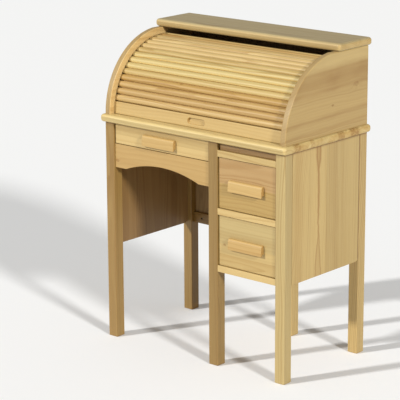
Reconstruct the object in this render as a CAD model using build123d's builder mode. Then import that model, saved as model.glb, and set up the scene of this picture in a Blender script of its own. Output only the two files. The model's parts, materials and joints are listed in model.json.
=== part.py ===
from build123d import *
import math
import os

os.makedirs("parts", exist_ok=True)

# Roll top desk in solid pine, millimetres. +Z is up, the front faces -Y and the drawer
# pedestal is on the +X side. The origin is on the floor, under the middle of the desktop.

# ---- driving dimensions ----
HEIGHT = 902.0              # floor to the upper face of the top board
FRAME_WIDTH = 650.0         # across the outer faces of the legs
FRAME_DEPTH = 362.0         # front face of the front legs to back face of the back legs
LEG = 32.0                  # square legs
BOARD = 18.0                # rails, apron, panels, drawer fronts
TOP_BOARD = 22.0            # desktop and top board
THIN = 6.0                  # back panels
DESKTOP_HEIGHT = 660.0      # floor to the upper face of the desktop
PEDESTAL_OPENING = 202.0    # between the two legs that hold the drawers
PANEL_BOTTOM = 274.0        # lower edge of the side panels and of the lowest rail
DRAWER_OPENING = 144.0      # height of each pedestal drawer opening
PENCIL_OPENING = 61.0       # height of the opening under the desktop, over the apron
APRON_BOTTOM = 508.0
ARCH_RISE = 25.0
ARCH_FLAT = 40.0            # straight length at each end of the apron's lower edge
OVERHANG_FRONT = 13.0       # desktop beyond the front legs
OVERHANG_SIDE = 10.0
OVERHANG_BACK = 8.0
CAP_OVERHANG = 8.0          # top board beyond the roll sides
CAP_DEPTH = 148.0
EDGE_ROUND = 9.0            # rounded edges of the desktop and top board
EASE = 2.0                  # eased edge of a board or leg
SLIGHT_EASE = 1.2           # eased lower edges of the apron and the side panels
RECESS = 5.0                # drawer fronts and apron behind the front face of the legs

# joints in the frame
TENON_LENGTH = 12.0
TENON_THICKNESS = 8.0
TENON_SHOULDER = 3.0
TONGUE = 6.0                # tongue length and thickness of panels let into grooves

# roll top
ROLL_RADIUS = 221.0         # curved front edge of the roll sides
ROLL_EASE = 3.0             # eased edges of the roll sides
CANVAS_RADIUS = 194.0       # face of the slats that is glued to the canvas
CANVAS_THICKNESS = 0.6
SLAT_THICKNESS = 9.0
SLAT_WIDTH = 17.8
SLAT_SQUARE = 2.0           # straight part of a slat's edge, before its half round
SLAT_COUNT = 15
SLAT_STEP = 5.8             # degrees from one slat to the next
LIFT_RAIL_TOP = 10.2        # degrees, where the lift rail ends and the first slat begins
RIGID_SLATS = 5             # slats that keep to the one arc all the way up
SLAT_END_GAP = 0.8          # slat to the inner face of a roll side
SLAT_END_EASE = 1.8         # rounding of a slat's face at its two ends
TONGUE_DEPTH = 5.0          # slat ends that run in the grooves
GROOVE_DEPTH = 6.5
FALSE_BACK_THICKNESS = 9.0
FALSE_BACK_HEIGHT = 124.0
GROOVE_CLEARANCE = 2.2      # outside the slat tongues, where the curtain bends

# drawers
SIDE_THICKNESS = 12.0
BOTTOM_THICKNESS = 4.0
GROOVE = 5.0                # depth of the drawer bottom's groove
LAP = 8.0                   # drawer side let into the back of the front
DRAWER_LENGTH = 318.0
FRONT_GAP = 1.4             # lower edge of a drawer front above its sides' lower edges
HANDLE_LENGTH = 117.0
HANDLE_HEIGHT = 31.0
HANDLE_DEPTH = 12.0         # at its lower edge
HANDLE_TAPER = 2.0          # less depth than that at its upper edge

# ---- places worked out from them ----
LEFT = -FRAME_WIDTH / 2
RIGHT = FRAME_WIDTH / 2
TOTAL_DEPTH = OVERHANG_FRONT + FRAME_DEPTH + OVERHANG_BACK
FRONT = -TOTAL_DEPTH / 2 + OVERHANG_FRONT
BACK = FRONT + FRAME_DEPTH
LEG_TOP = DESKTOP_HEIGHT - TOP_BOARD
CAP_BOTTOM = HEIGHT - TOP_BOARD
PEDESTAL_RIGHT = RIGHT - LEG
PEDESTAL_LEFT = PEDESTAL_RIGHT - PEDESTAL_OPENING
KNEE_RIGHT = PEDESTAL_LEFT - LEG
KNEE_LEFT = LEFT + LEG
BEHIND_FRONT_LEGS = FRONT + LEG
BEFORE_BACK_LEGS = BACK - LEG
LOWER_DRAWER_Z = PANEL_BOTTOM + BOARD
RAIL_MIDDLE_Z = LOWER_DRAWER_Z + DRAWER_OPENING
UPPER_DRAWER_Z = RAIL_MIDDLE_Z + BOARD
RAIL_UPPER_Z = UPPER_DRAWER_Z + DRAWER_OPENING
SHELF_Z = RAIL_UPPER_Z + BOARD
PENCIL_Z = LEG_TOP - PENCIL_OPENING
BACK_RAIL_HEIGHT = 32.0
BACK_RAIL_Y = BACK - BOARD - 1
BACK_PANEL_Y = BACK - 12
ARC_Y = FRONT + ROLL_RADIUS
ARC_Z = DESKTOP_HEIGHT
ROLL_BACK_Y = BACK - THIN - 2
INSIDE_LEFT = LEFT + BOARD
INSIDE_RIGHT = RIGHT - BOARD


def span(x0, x1, y0, y1):
    """A rectangle in the current sketch, from its two corners."""
    with Locations(((x0 + x1) / 2, (y0 + y1) / 2)):
        Rectangle(x1 - x0, y1 - y0)


def solid_box(x, y, z, mode=Mode.ADD):
    """A box in the current part, each side given as (low, high)."""
    with BuildSketch(Plane.XY.offset(z[0])) as section:
        span(x[0], x[1], y[0], y[1])
    extrude(section.sketch, amount=z[1] - z[0], mode=mode)


def save(piece, name):
    piece.part.label = name
    export_step(piece.part, f"parts/{name}.step")


def tenons(x, y, z):
    """The two stub tenons of a rail that runs from x[0] to x[1], as boxes."""
    middle = (y[0] + y[1]) / 2
    thick = (middle - TENON_THICKNESS / 2, middle + TENON_THICKNESS / 2)
    tall = (z[0] + TENON_SHOULDER, z[1] - TENON_SHOULDER)
    return [((x[0] - TENON_LENGTH, x[0]), thick, tall), ((x[1], x[1] + TENON_LENGTH), thick, tall)]


# ---- rails between the legs: x, y and z of the part that shows ----
front_face = (FRONT + 1, FRONT + 1 + BOARD)
back_rail_face = (BACK_RAIL_Y, BACK_RAIL_Y + BOARD)
pedestal_x = (PEDESTAL_LEFT, PEDESTAL_RIGHT)
knee_x = (KNEE_LEFT, KNEE_RIGHT)
RAILS = {
    "rail_lower": (pedestal_x, front_face, (PANEL_BOTTOM, PANEL_BOTTOM + BOARD)),
    "rail_middle": (pedestal_x, front_face, (RAIL_MIDDLE_Z, RAIL_MIDDLE_Z + BOARD)),
    "rail_upper": (pedestal_x, front_face, (RAIL_UPPER_Z, RAIL_UPPER_Z + BOARD)),
    "kneehole_back_rail": (knee_x, back_rail_face, (PANEL_BOTTOM, PANEL_BOTTOM + BACK_RAIL_HEIGHT)),
    "pedestal_back_rail": (pedestal_x, back_rail_face, (PANEL_BOTTOM, PANEL_BOTTOM + BACK_RAIL_HEIGHT)),
}
apron_y = (FRONT + RECESS, FRONT + RECESS + BOARD)
apron_z = (APRON_BOTTOM, PENCIL_Z)

# ---- side panels and the panel between kneehole and pedestal: outer faces flush with the legs ----
panel_y = (BEHIND_FRONT_LEGS, BEFORE_BACK_LEGS)
panel_z = (PANEL_BOTTOM, LEG_TOP)
SIDE_PANELS = {
    "side_panel_left": (LEFT, LEFT + BOARD),
    "pedestal_inner_panel": (KNEE_RIGHT, KNEE_RIGHT + BOARD),
    "side_panel_right": (RIGHT - BOARD, RIGHT),
}
back_panel_z = (PANEL_BOTTOM + BACK_RAIL_HEIGHT, LEG_TOP)
BACK_PANELS = {"kneehole_back_panel": knee_x, "pedestal_back_panel": pedestal_x}


def panel_tongues(x):
    """Tongues on the front and back edge of a side panel."""
    middle = (x[0] + x[1]) / 2
    thick = (middle - TONGUE / 2, middle + TONGUE / 2)
    return [
        (thick, (panel_y[0] - TONGUE, panel_y[0]), panel_z),
        (thick, (panel_y[1], panel_y[1] + TONGUE), panel_z),
    ]


def back_panel_edges(x):
    """The two strips of a back panel that sit in the legs' grooves."""
    depth = (BACK_PANEL_Y, BACK_PANEL_Y + THIN)
    return [((x[0] - TONGUE, x[0]), depth, back_panel_z), ((x[1], x[1] + TONGUE), depth, back_panel_z)]


def meets(box, x, y):
    """True if a tenon or tongue reaches into the leg that covers x and y."""
    (x0, x1), (y0, y1), _ = box
    return x0 < x[1] and x1 > x[0] and y0 < y[1] and y1 > y[0]


let_in = []
for where in RAILS.values():
    let_in += tenons(*where)
let_in += tenons(knee_x, apron_y, apron_z)
for across in SIDE_PANELS.values():
    let_in += panel_tongues(across)
for across in BACK_PANELS.values():
    let_in += back_panel_edges(across)


# ---- legs ----
def make_leg(name, x0, y0):
    """A square leg with eased edges, mortised and grooved for what joins it."""
    x, y = (x0, x0 + LEG), (y0, y0 + LEG)
    with BuildPart() as leg:
        solid_box(x, y, (0, LEG_TOP))
        fillet(leg.edges().filter_by(Axis.Z), EASE)
        chamfer(leg.faces().sort_by(Axis.Z)[0].edges(), 1.0)
        for box in let_in:
            if meets(box, x, y):
                solid_box(*box, mode=Mode.SUBTRACT)
    save(leg, name)


for row, y_leg in (("front", FRONT), ("back", BEFORE_BACK_LEGS)):
    make_leg(f"leg_{row}_left", LEFT, y_leg)
    make_leg(f"leg_{row}_middle", KNEE_RIGHT, y_leg)
    make_leg(f"leg_{row}_right", PEDESTAL_RIGHT, y_leg)

# ---- rails ----
DOWEL_HOLE = 8.0
DOWEL_DEPTH = 12.0
DOWEL_INSET = 30.0          # from the leg to the cross dowel
dowel_z = PANEL_BOTTOM + BACK_RAIL_HEIGHT / 2
dowel_x = (KNEE_LEFT + DOWEL_INSET, KNEE_RIGHT - DOWEL_INSET)

for name, (x, y, z) in RAILS.items():
    with BuildPart() as rail:
        solid_box(x, y, z)
        fillet(rail.edges().filter_by(Axis.X), 1.0)
        for box in tenons(x, y, z):
            solid_box(*box)
        if name == "kneehole_back_rail":
            with BuildSketch(Plane.XZ.offset(-y[0])):
                with Locations(*[(place, dowel_z) for place in dowel_x]):
                    Circle(DOWEL_HOLE / 2)
            extrude(amount=-DOWEL_DEPTH, mode=Mode.SUBTRACT)
    save(rail, name)

# steel cross dowels that the frame bolts screw into, sunk in the back rail
with BuildPart() as cross_dowels:
    with BuildSketch(Plane.XZ.offset(-(BACK_RAIL_Y + DOWEL_DEPTH))):
        with Locations(*[(place, dowel_z) for place in dowel_x]):
            Circle(DOWEL_HOLE / 2 - 0.2)
    extrude(amount=DOWEL_DEPTH - 3)
    with BuildSketch(Plane.XZ.offset(-(BACK_RAIL_Y + 3))):
        with Locations(*[(place, dowel_z) for place in dowel_x]):
            Rectangle(5.0, 1.2)
    extrude(amount=-1.5, mode=Mode.SUBTRACT)
save(cross_dowels, "cross_dowels")

# ---- apron with its arched lower edge ----
arch_start = KNEE_LEFT + ARCH_FLAT
arch_end = KNEE_RIGHT - ARCH_FLAT
arch_middle = (KNEE_LEFT + KNEE_RIGHT) / 2
with BuildPart() as apron:
    with BuildSketch(Plane.XZ.offset(-apron_y[0])):
        with BuildLine():
            Polyline(
                (arch_start, apron_z[0]),
                (KNEE_LEFT, apron_z[0]),
                (KNEE_LEFT, apron_z[1]),
                (KNEE_RIGHT, apron_z[1]),
                (KNEE_RIGHT, apron_z[0]),
                (arch_end, apron_z[0]),
            )
            ThreePointArc(
                (arch_end, apron_z[0]),
                (arch_middle, apron_z[0] + ARCH_RISE),
                (arch_start, apron_z[0]),
            )
        make_face()
    extrude(amount=-BOARD)
    arch_corners = apron.edges().filter_by(Axis.Y).filter_by_position(
        Axis.X, arch_start - 1, arch_end + 1
    )
    fillet(arch_corners, 6.0)
    front_edges = apron.faces().sort_by(Axis.Y)[0].edges().filter_by(Axis.Z, reverse=True)
    fillet(front_edges.sort_by(Axis.Z)[:-1], SLIGHT_EASE)
    for box in tenons(knee_x, apron_y, apron_z):
        solid_box(*box)
save(apron, "apron")

# ---- panels ----
for name, x in SIDE_PANELS.items():
    with BuildPart() as panel:
        solid_box(x, panel_y, panel_z)
        lower_back = panel.edges().filter_by(Axis.X).sort_by(Axis.Z)[:2].sort_by(Axis.Y)[-1]
        fillet(lower_back, 12.0)
        fillet(panel.faces().sort_by(Axis.Z)[0].edges().filter_by(Axis.Y), SLIGHT_EASE)
        middle = (x[0] + x[1]) / 2
        thick = (middle - TONGUE / 2, middle + TONGUE / 2)
        solid_box(thick, (panel_y[0] - TONGUE, panel_y[0]), panel_z)
        solid_box(thick, (panel_y[1], panel_y[1] + TONGUE), (panel_z[0] + 14, panel_z[1]))
    save(panel, name)

for name, x in BACK_PANELS.items():
    with BuildPart() as panel:
        solid_box((x[0] - TONGUE, x[1] + TONGUE), (BACK_PANEL_Y, BACK_PANEL_Y + THIN), back_panel_z)
    save(panel, name)


# ---- desktop and top board, rounded all round ----
def make_rounded_board(name, side_overhang, y, z):
    with BuildPart() as board:
        solid_box((LEFT - side_overhang, RIGHT + side_overhang), y, z)
        fillet(board.edges().filter_by(Axis.Z), EDGE_ROUND + 1)
        fillet(board.faces().filter_by(Axis.Z).edges(), EDGE_ROUND)
    save(board, name)


board_back = BACK + OVERHANG_BACK
desktop_y = (FRONT - OVERHANG_FRONT, board_back)
cap_y = (board_back - CAP_DEPTH, board_back)
make_rounded_board("desktop", OVERHANG_SIDE, desktop_y, (LEG_TOP, DESKTOP_HEIGHT))
make_rounded_board("top_board", CAP_OVERHANG, cap_y, (CAP_BOTTOM, HEIGHT))

# ---- runners: L-shaped battens that carry each drawer and guide its sides ----
RUNNER_WIDTH = 26.0
GUIDE_HEIGHT = 20.0
runner_y = (BEHIND_FRONT_LEGS, BEFORE_BACK_LEGS)


def runner(wall, inward, top, guide_to):
    """One batten on the wall at x = wall, its upper face at z = top, its guide out to x = guide_to."""
    base = sorted((wall, wall + inward * RUNNER_WIDTH))
    guide = sorted((wall, guide_to))
    solid_box(base, runner_y, (top - BOARD, top))
    if guide[1] - guide[0] > 1:
        solid_box(guide, runner_y, (top, top + GUIDE_HEIGHT))


with BuildPart() as pedestal_runners:
    for floor_z in (LOWER_DRAWER_Z, UPPER_DRAWER_Z):
        runner(KNEE_RIGHT + BOARD, 1, floor_z, PEDESTAL_LEFT)
        runner(INSIDE_RIGHT, -1, floor_z, PEDESTAL_RIGHT)
    runner(KNEE_RIGHT + BOARD, 1, SHELF_Z, KNEE_RIGHT + BOARD)
    runner(INSIDE_RIGHT, -1, SHELF_Z, INSIDE_RIGHT)
save(pedestal_runners, "pedestal_runners")

with BuildPart() as pencil_runners:
    runner(INSIDE_LEFT, 1, PENCIL_Z, KNEE_LEFT)
    runner(KNEE_RIGHT, -1, PENCIL_Z, KNEE_RIGHT)
save(pencil_runners, "pencil_runners")

# ---- pull-out writing shelf over the pedestal ----
SHELF_RECESS = 9.0
SHELF_LENGTH = 300.0
shelf_x = (PEDESTAL_LEFT + 2.5, PEDESTAL_RIGHT - 1.5)
shelf_y = (FRONT + SHELF_RECESS, FRONT + SHELF_RECESS + SHELF_LENGTH)
with BuildPart() as writing_shelf:
    solid_box(shelf_x, shelf_y, (SHELF_Z + 0.3, SHELF_Z + 0.3 + BOARD))
    fillet(writing_shelf.edges().filter_by(Axis.X).sort_by(Axis.Y)[:2], EASE)
    # finger cove in the front of the upper face
    with BuildSketch(Plane.XY.offset(SHELF_Z + 0.3 + BOARD)):
        with Locations(((shelf_x[0] + shelf_x[1]) / 2, shelf_y[0] + 16)):
            SlotOverall(90, 18)
    extrude(amount=-8, taper=20, mode=Mode.SUBTRACT)
save(writing_shelf, "writing_shelf")


# ---- handle: a pull rounded over its top, thicker at its lower edge, with a finger groove beneath ----
def handle_block(x_middle, y_face, z_middle):
    top = z_middle + HANDLE_HEIGHT / 2
    bottom = z_middle - HANDLE_HEIGHT / 2
    nose = y_face - HANDLE_DEPTH
    groove_front = nose + 4.5
    groove_top = bottom + 6
    with BuildSketch(Plane.YZ.offset(x_middle - HANDLE_LENGTH / 2)) as profile:
        with BuildLine():
            Polyline(
                (groove_front, bottom),
                (nose, bottom),
                (nose + HANDLE_TAPER, top),
                (y_face, top),
                (y_face, groove_top),
            )
            ThreePointArc((y_face, groove_top), (y_face - 5.5, groove_top - 1), (groove_front, bottom))
        make_face()
        fillet(profile.vertices().sort_by(Axis.Y)[-2:].sort_by(Axis.X)[0], 7.0)
        fillet(profile.vertices().sort_by(Axis.X)[0], 1.5)
    extrude(profile.sketch, amount=HANDLE_LENGTH)


# ---- drawers ----
def make_drawer(name, x, z, length, handle_shift, handle_drop):
    """Front, two sides, back, bottom and handle of one drawer. x and z are its outer edges.

    handle_shift is how far the handle sits left of the middle, handle_drop how far below it.
    """
    y_front = FRONT + RECESS
    y_lap = y_front + BOARD - LAP
    y_end = y_front + length
    side_bottom = z[0]
    side_top = z[1] - 8
    groove_z = (side_bottom + 8, side_bottom + 8 + BOTTOM_THICKNESS)
    inner = (x[0] + SIDE_THICKNESS, x[1] - SIDE_THICKNESS)

    with BuildPart() as front:
        solid_box(x, (y_front, y_front + BOARD), (z[0] + FRONT_GAP, z[1]))
        fillet(front.faces().sort_by(Axis.Y)[0].edges(), 1.5)
        for edge in ((x[0], inner[0]), (inner[1], x[1])):
            solid_box(edge, (y_lap, y_front + BOARD), (side_bottom, side_top), mode=Mode.SUBTRACT)
        solid_box(
            (inner[0] - GROOVE, inner[1] + GROOVE),
            (y_front + BOARD - GROOVE, y_front + BOARD),
            groove_z,
            mode=Mode.SUBTRACT,
        )
    save(front, f"{name}_front")

    with BuildPart() as sides:
        for edge in ((x[0], inner[0]), (inner[1], x[1])):
            solid_box(edge, (y_lap, y_end), (side_bottom, side_top))
        fillet(sides.edges().filter_by(Axis.Y).group_by(Axis.Z)[-1], EASE)
        solid_box(
            (inner[0] - GROOVE, inner[1] + GROOVE),
            (y_front + BOARD - GROOVE, y_end),
            groove_z,
            mode=Mode.SUBTRACT,
        )
    save(sides, f"{name}_sides")

    with BuildPart() as back:
        solid_box(inner, (y_end - SIDE_THICKNESS - 2, y_end - 2), (groove_z[1], side_top))
        fillet(back.faces().sort_by(Axis.Z)[-1].edges().filter_by(Axis.X), EASE)
    save(back, f"{name}_back")

    with BuildPart() as bottom:
        solid_box(
            (inner[0] - GROOVE, inner[1] + GROOVE), (y_front + BOARD - GROOVE, y_end - 1), groove_z
        )
    save(bottom, f"{name}_bottom")

    with BuildPart() as handle:
        handle_block((x[0] + x[1]) / 2 - handle_shift, y_front, (z[0] + z[1]) / 2 - handle_drop)
        ends = handle.faces().filter_by(Axis.X).edges()
        chamfer(ends.filter_by_position(Axis.Y, y_front - HANDLE_DEPTH - 1, y_front - 1), 0.8)
    save(handle, f"{name}_handle")


pedestal_front = (PEDESTAL_LEFT + 2.0, PEDESTAL_RIGHT - 2.0)
for name, floor_z in (("lower_drawer", LOWER_DRAWER_Z), ("upper_drawer", UPPER_DRAWER_Z)):
    drawer_z = (floor_z + 0.4, floor_z + DRAWER_OPENING - 2)
    make_drawer(name, pedestal_front, drawer_z, DRAWER_LENGTH, handle_shift=1, handle_drop=1.5)
pencil_x = (KNEE_LEFT + 2, KNEE_RIGHT - 2)
pencil_z = (PENCIL_Z + 0.4, LEG_TOP - 2)
make_drawer("pencil_drawer", pencil_x, pencil_z, DRAWER_LENGTH, handle_shift=5, handle_drop=3)


# ---- roll top ----
def on_arc(radius, degrees):
    """The point (y, z) at that radius from the roll's centre; 0 is the front, 90 the top."""
    angle = math.radians(degrees)
    return (ARC_Y - radius * math.cos(angle), ARC_Z + radius * math.sin(angle))


groove_outer = CANVAS_RADIUS + 5 + GROOVE_CLEARANCE
groove_inner = CANVAS_RADIUS - 4
POCKET_FROM = 62.0          # degrees, where the groove begins to widen inwards
pocket_back = ROLL_BACK_Y - 5.5
pocket_front = BACK - 54
side_top_front = ARC_Y - math.sqrt(ROLL_RADIUS**2 - (CAP_BOTTOM - ARC_Z) ** 2)


def roll_outline():
    """The side's outline: straight base, curved front, flat top under the top board."""
    start = (FRONT, ARC_Z)
    end = (side_top_front, CAP_BOTTOM)
    with BuildLine() as outline:
        ThreePointArc(start, on_arc(ROLL_RADIUS, 45), end)
        Polyline(end, (BACK, CAP_BOTTOM), (BACK, ARC_Z), start)
    make_face(outline.edges())


def groove_outline():
    """The curtain's groove, open at the desktop, widening into a pocket behind the false back."""
    bend = math.degrees(math.acos((ARC_Y - pocket_back) / groove_outer))
    with BuildLine() as outline:
        Polyline(
            on_arc(groove_inner, 0),
            (ARC_Y - groove_inner, ARC_Z - 1),
            (ARC_Y - groove_outer, ARC_Z - 1),
            on_arc(groove_outer, 0),
        )
        ThreePointArc(on_arc(groove_outer, 0), on_arc(groove_outer, bend / 2), on_arc(groove_outer, bend))
        Polyline(
            on_arc(groove_outer, bend),
            (pocket_back, ARC_Z - 1),
            (pocket_front, ARC_Z - 1),
            (pocket_front, ARC_Z + FALSE_BACK_HEIGHT + 6),
            on_arc(groove_inner - 22, 95),
            on_arc(groove_inner, POCKET_FROM),
        )
        ThreePointArc(
            on_arc(groove_inner, POCKET_FROM),
            on_arc(groove_inner, POCKET_FROM / 2),
            on_arc(groove_inner, 0),
        )
    make_face(outline.edges())


def make_roll_side(name, outer, inward):
    """A quarter-round side with the curtain's groove and the back panel's groove in its inner face."""
    with BuildPart() as side:
        with BuildSketch(Plane.YZ.offset(outer)):
            roll_outline()
        extrude(amount=inward * BOARD)
        curved = side.faces().filter_by(GeomType.CYLINDER).edges().filter_by(GeomType.CIRCLE)
        fillet(curved, ROLL_EASE)
        fillet(side.edges().filter_by(Axis.Z), EASE)
        inner = outer + inward * BOARD
        with BuildSketch(Plane.YZ.offset(inner)):
            groove_outline()
        extrude(amount=-inward * GROOVE_DEPTH, mode=Mode.SUBTRACT)
        with BuildSketch(Plane.YZ.offset(inner)):
            span(ROLL_BACK_Y, ROLL_BACK_Y + THIN, ARC_Z, CAP_BOTTOM)
        extrude(amount=-inward * TONGUE, mode=Mode.SUBTRACT)
    save(side, name)


make_roll_side("roll_side_left", LEFT, 1)
make_roll_side("roll_side_right", RIGHT, -1)

with BuildPart() as roll_back_panel:
    solid_box(
        (INSIDE_LEFT - TONGUE, INSIDE_RIGHT + TONGUE),
        (ROLL_BACK_Y, ROLL_BACK_Y + THIN),
        (ARC_Z, CAP_BOTTOM),
    )
save(roll_back_panel, "roll_back_panel")

false_back_y = (pocket_front - FALSE_BACK_THICKNESS, pocket_front)
with BuildPart() as false_back:
    solid_box((INSIDE_LEFT, INSIDE_RIGHT), false_back_y, (ARC_Z, ARC_Z + FALSE_BACK_HEIGHT))
    fillet(false_back.faces().sort_by(Axis.Z)[-1].edges().filter_by(Axis.X), EASE)
save(false_back, "false_back")

# ---- curtain: half-round slats, tongued at both ends ----
slat_x = (INSIDE_LEFT + SLAT_END_GAP, INSIDE_RIGHT - SLAT_END_GAP)
tongue_x = (INSIDE_LEFT - TONGUE_DEPTH, INSIDE_RIGHT + TONGUE_DEPTH)


def slat_plane(x, degrees):
    """A plane across the slat at x, its local x along the curtain and local y out of the curve."""
    y, z = on_arc(CANVAS_RADIUS, degrees)
    angle = math.radians(degrees)
    along = (0, math.sin(angle), math.cos(angle))
    return Plane(origin=(x, y, z), x_dir=along, z_dir=(1, 0, 0))


def make_slat(name, degrees):
    half = SLAT_WIDTH / 2
    crown = SLAT_THICKNESS - SLAT_SQUARE
    with BuildPart() as slat:
        with BuildSketch(slat_plane(slat_x[0], degrees)):
            with BuildLine():
                Polyline((-half, SLAT_SQUARE), (-half, 0), (half, 0), (half, SLAT_SQUARE))
                EllipticalCenterArc(
                    center=(0, SLAT_SQUARE), x_radius=half, y_radius=crown, start_angle=0, arc_size=180
                )
            make_face()
        extrude(amount=slat_x[1] - slat_x[0])
        fillet(slat.edges().filter_by(GeomType.ELLIPSE), SLAT_END_EASE)
        with BuildSketch(slat_plane(tongue_x[0], degrees)):
            span(-half + 2, half - 2, 0, 5)
        extrude(amount=tongue_x[1] - tongue_x[0])
    save(slat, name)


for number in range(SLAT_COUNT):
    make_slat(f"slat_{number + 1:02d}", LIFT_RAIL_TOP + SLAT_STEP * (number + 0.5))

# ---- lift rail, the curtain's lowest board, with a routed finger pull ----
LIFT_THICKNESS = 14.0
LIFT_HEIGHT = 34.5
PULL_LENGTH = 64.0
PULL_HEIGHT = 18.0
PULL_DEPTH = 6.0
lift_angle = LIFT_RAIL_TOP / 2
lift_inner = SLAT_THICKNESS - LIFT_THICKNESS
with BuildPart() as lift_rail:
    with BuildSketch(slat_plane(slat_x[0], lift_angle)):
        span(-LIFT_HEIGHT / 2 - 2, LIFT_HEIGHT / 2 - 0.5, lift_inner, SLAT_THICKNESS)
    extrude(amount=slat_x[1] - slat_x[0])
    # planed level along the bottom, so that it closes flat on the desktop
    solid_box(slat_x, (FRONT, ARC_Y), (ARC_Z - 10, ARC_Z + 0.4), mode=Mode.SUBTRACT)
    fillet(lift_rail.edges().filter_by(Axis.X), EASE)
    with BuildSketch(slat_plane(tongue_x[0], lift_angle)):
        span(-LIFT_HEIGHT / 2 + 4, LIFT_HEIGHT / 2 - 4, 0.2, 5)
    extrude(amount=tongue_x[1] - tongue_x[0])
    outward = slat_plane(0, lift_angle).y_dir
    face_centre = slat_plane(0, lift_angle).origin + outward * SLAT_THICKNESS
    with BuildSketch(Plane(origin=face_centre, x_dir=(1, 0, 0), z_dir=outward)):
        SlotOverall(PULL_LENGTH, PULL_HEIGHT)
    extrude(amount=-PULL_DEPTH, taper=12, mode=Mode.SUBTRACT)
save(lift_rail, "lift_rail")

# ---- canvas behind the slats that stay on the arc ----
canvas_end = LIFT_RAIL_TOP + SLAT_STEP * RIGID_SLATS - 0.3
canvas_start = LIFT_RAIL_TOP
with BuildPart() as canvas_front:
    with BuildSketch(Plane.YZ.offset(slat_x[0] + 6)):
        outer = CANVAS_RADIUS - 0.05
        inner = outer - CANVAS_THICKNESS
        middle = (canvas_start + canvas_end) / 2
        with BuildLine():
            ThreePointArc(on_arc(outer, canvas_start), on_arc(outer, middle), on_arc(outer, canvas_end))
            Line(on_arc(outer, canvas_end), on_arc(inner, canvas_end))
            ThreePointArc(on_arc(inner, canvas_end), on_arc(inner, middle), on_arc(inner, canvas_start))
            Line(on_arc(inner, canvas_start), on_arc(outer, canvas_start))
        make_face()
    extrude(amount=slat_x[1] - slat_x[0] - 12)
save(canvas_front, "canvas_front")
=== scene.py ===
import json
import math

import bmesh
import bpy
from mathutils import Matrix, Vector


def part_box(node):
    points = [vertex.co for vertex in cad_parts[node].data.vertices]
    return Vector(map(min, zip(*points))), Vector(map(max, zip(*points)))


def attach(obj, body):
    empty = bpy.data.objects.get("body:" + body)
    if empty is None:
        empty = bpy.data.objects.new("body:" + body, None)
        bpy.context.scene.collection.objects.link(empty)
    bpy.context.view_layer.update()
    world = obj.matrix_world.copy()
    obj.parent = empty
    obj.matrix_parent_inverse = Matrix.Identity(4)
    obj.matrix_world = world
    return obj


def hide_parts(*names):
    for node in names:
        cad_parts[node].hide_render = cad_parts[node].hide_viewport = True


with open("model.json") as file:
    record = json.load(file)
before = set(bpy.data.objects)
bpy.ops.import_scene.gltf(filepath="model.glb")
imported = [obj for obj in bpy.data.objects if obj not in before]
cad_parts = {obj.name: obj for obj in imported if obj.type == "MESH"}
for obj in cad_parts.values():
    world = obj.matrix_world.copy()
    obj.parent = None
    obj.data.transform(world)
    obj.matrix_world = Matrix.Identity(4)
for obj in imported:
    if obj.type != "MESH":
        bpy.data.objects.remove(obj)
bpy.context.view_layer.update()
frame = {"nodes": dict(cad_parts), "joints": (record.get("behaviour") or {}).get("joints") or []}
nodes = frame["nodes"]

# Looks of the roll top desk: clear-lacquered solid pine, plywood backs and drawer bottoms,
# a canvas behind the slats and steel barrel nuts. Lengths are in metres, angles in degrees and
# screen colours from 0 to 255.

# ---- camera ----
CAMERA_PLACE = (3.2825, -3.9098, 1.7818)
CAMERA_AZIMUTH = 41.087
CAMERA_ELEVATION = 14.875
CAMERA_ROLL = -0.312
CAMERA_LENS = 168.56
CAMERA_REACH = 100.0

# ---- floor and light: two soft suns, with azimuth and elevation like the camera's ----
FLOOR_SIZE = 40.0
FLOOR_DROP = 0.0005
FLOOR_COLOUR = (0.9, 0.9, 0.89, 1.0)
ROOM_COLOUR = (1.0, 1.0, 1.0, 1.0)
ROOM_BRIGHTNESS = 0.3
SUN_DISTANCE = 5.0
SUNS = {
    "sun_front_left": {"azimuth": -27.0, "elevation": 27.0, "strength": 2.75, "width": 3.5},
    "sun_right": {"azimuth": 72.0, "elevation": 24.0, "strength": 2.51, "width": 7.0},
}

# ---- kinds of pine by average screen colour ----
WOODS = {
    "plain": (174, 146, 96),
    "cream": (194, 170, 112),
    "straw": (185, 158, 102),
    "golden": (174, 148, 94),
    "rosy": (163, 131, 83),
    "amber": (169, 137, 82),
    "honey": (160, 131, 74),
    "peach": (198, 166, 108),
    "pale_olive": (186, 165, 107),
    "khaki": (168, 146, 95),
    "tan": (166, 138, 84),
    "light_tan": (175, 149, 94),
    "fawn": (180, 155, 97),
    "russet": (166, 132, 72),
    "brown": (140, 111, 60),
    "dark_brown": (133, 106, 57),
    "chestnut": (155, 122, 75),
    "drab": (160, 143, 101),
    "buff": (177, 146, 89),
    "apricot": (181, 151, 95),
    "grey_rim": (157, 131, 84),
    # umber, dark_umber and bark are darker woods for painted shade on faces inside the kneehole.
    "umber": (126, 97, 56),
    "dark_umber": (114, 84, 32),
    "bark": (124, 93, 42),
}

# ---- parts of a wood, as factors on its red, green and blue ----
EARLY_WOOD = (1.07, 1.08, 1.12)
LATE_WOOD = (0.74, 0.62, 0.46)
WARM_WOOD = (1.01, 0.91, 0.78)
STREAK_WOOD = (0.66, 0.50, 0.34)
FLAME_WOOD = (0.56, 0.38, 0.22)
KNOT_WOOD = (0.42, 0.27, 0.18)
END_GRAIN = (0.82, 0.72, 0.58, 1.0)

# ---- other screen colours; each plywood face has a light and a dark one ----
# Painted shade: the dark lines where one piece meets or overhangs another.
SEAM_SHADE = (100, 66, 28)
BIRCH = ((186, 158, 114), (160, 128, 86))
BACK_OUTSIDE = ((168, 140, 96), (152, 122, 80))
# The inner faces of the backs are darker as painted shade.
BACK_INSIDE_SHADE = ((146, 118, 76), (118, 88, 52))
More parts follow.
